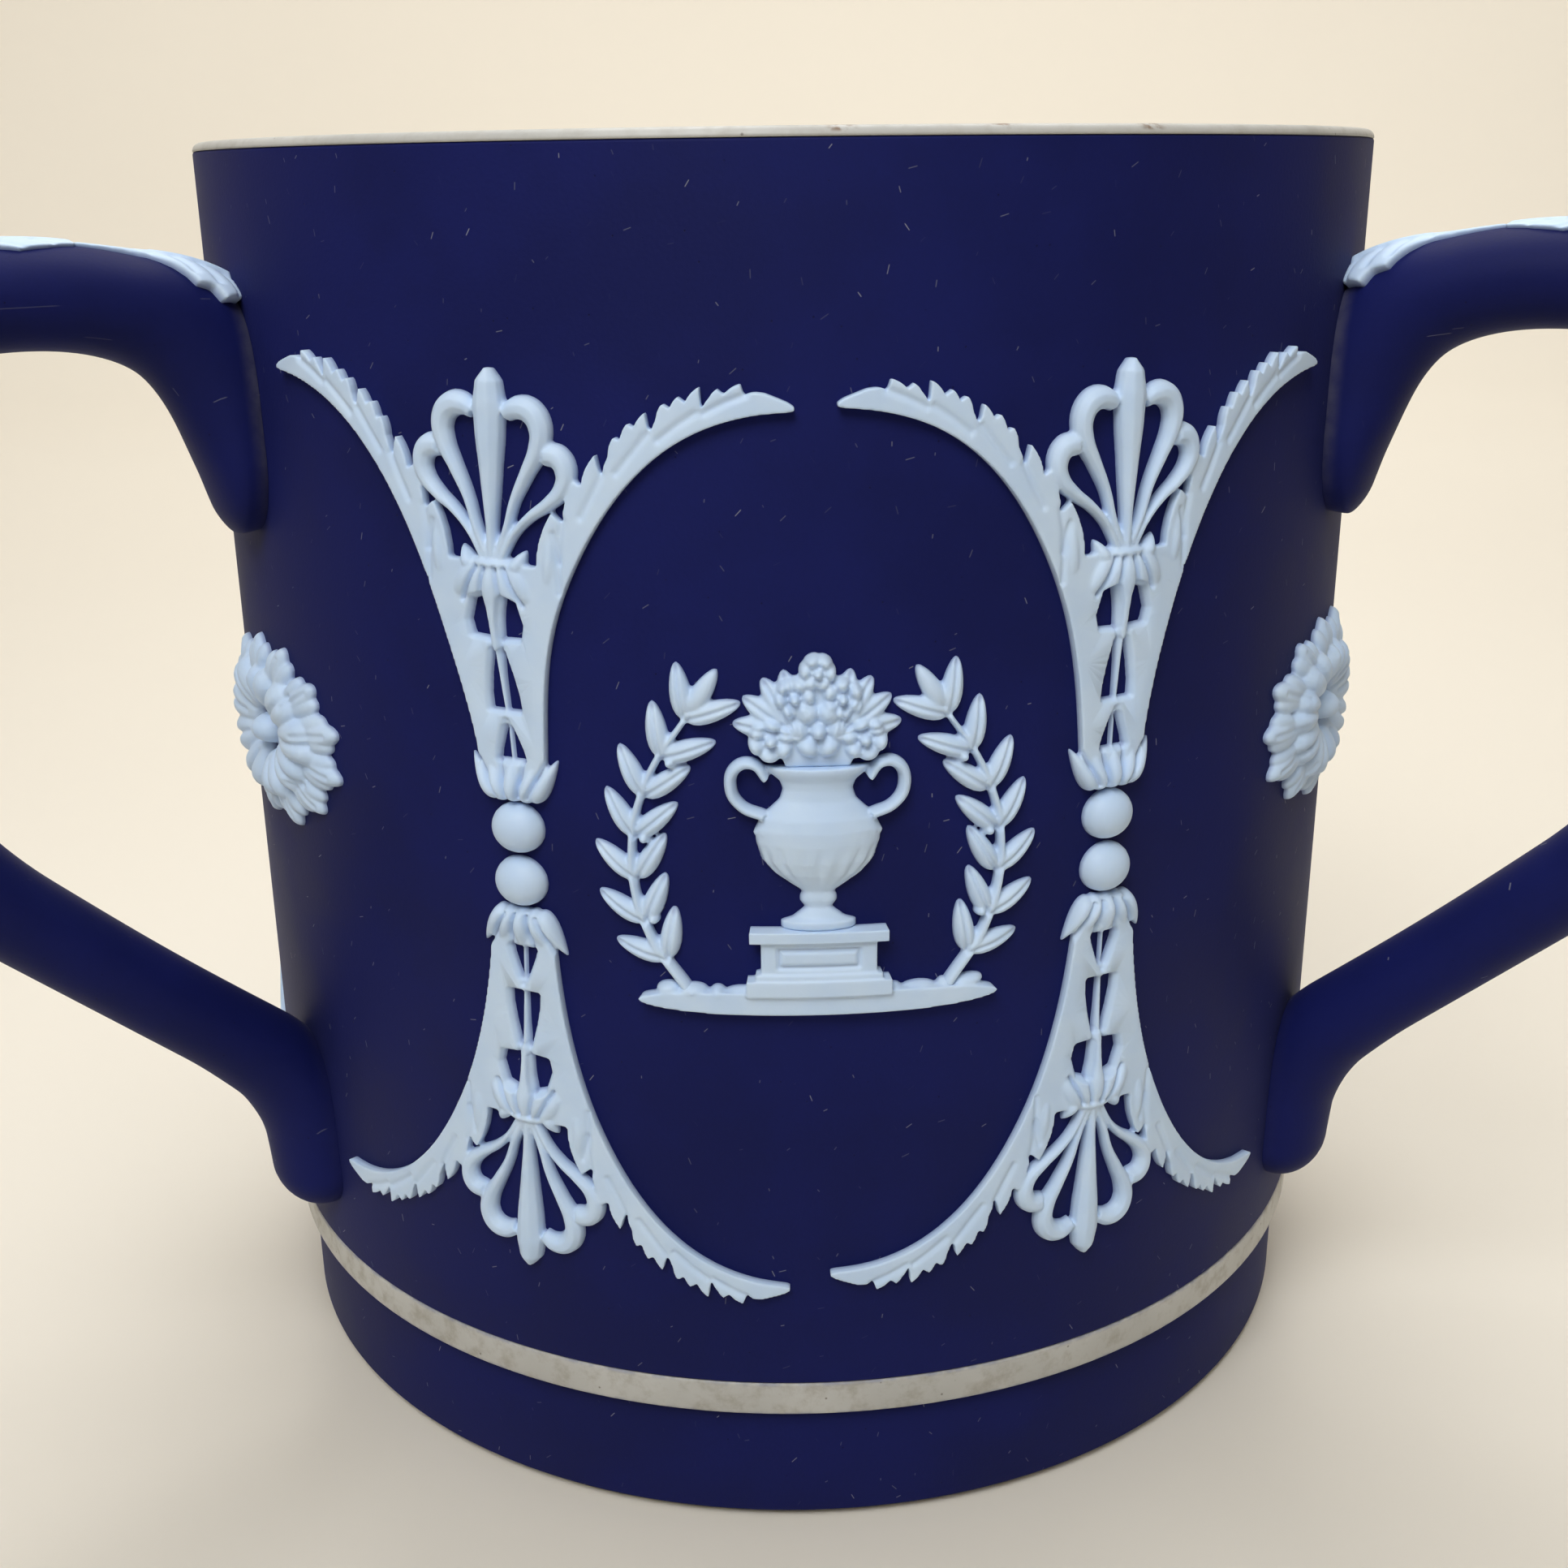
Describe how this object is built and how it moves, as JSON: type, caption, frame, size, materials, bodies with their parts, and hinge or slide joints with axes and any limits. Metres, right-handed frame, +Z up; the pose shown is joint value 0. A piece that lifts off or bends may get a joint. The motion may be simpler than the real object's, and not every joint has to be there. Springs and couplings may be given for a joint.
{
  "type": "loving cup",
  "caption": "Cylindrical stoneware loving cup with loop handles, a dark blue slip coat and white relief sprigs of acanthus columns, rosettes and a panel scene.",
  "frame": {"origin": "centre of the flat base that the cup stands on", "axes": "+Z up along the cup's axis; the front panel faces -Y, and one handle is straight behind it at +Y"},
  "size_m": [0.1822, 0.1668, 0.1286],
  "materials": {
    "white_stoneware": "unglazed, smooth, slightly soiled",
    "blue_slip": "matte dry slip, satin where handled",
    "white_relief": "matte, waxy, blue at thin edges"
  },
  "bodies": {
    "root": {"body": "white_stoneware", "wall_coat": "blue_slip", "foot_coat": "blue_slip", "handle_right": "blue_slip", "root_leaf_right": "white_relief", "crest_leaf_right": "white_relief", "rosette_right": "white_relief", "handle_back": "blue_slip", "root_leaf_back": "white_relief", "crest_leaf_back": "white_relief", "rosette_back": "white_relief", "handle_left": "blue_slip", "root_leaf_left": "white_relief", "crest_leaf_left": "white_relief", "rosette_left": "white_relief", "column_front_left_upper": "white_relief", "column_front_left_lower": "white_relief", "column_front_left_beads": "white_relief", "column_front_right_upper": "white_relief", "column_front_right_lower": "white_relief", "column_front_right_beads": "white_relief", "ground_front": "white_relief", "urn_front": "white_relief", "bouquet_front": "white_relief", "laurels_front": "white_relief", "column_right_left_upper": "white_relief", "column_right_left_lower": "white_relief", "column_right_left_beads": "white_relief", "column_right_right_upper": "white_relief", "column_right_right_lower": "white_relief", "column_right_right_beads": "white_relief", "ground_right": "white_relief", "urn_right": "white_relief", "bouquet_right": "white_relief", "laurels_right": "white_relief", "column_left_left_upper": "white_relief", "column_left_left_lower": "white_relief", "column_left_left_beads": "white_relief", "column_left_right_upper": "white_relief", "column_left_right_lower": "white_relief", "column_left_right_beads": "white_relief", "ground_left": "white_relief", "urn_left": "white_relief", "bouquet_left": "white_relief", "laurels_left": "white_relief"}
  },
  "joints": []
}
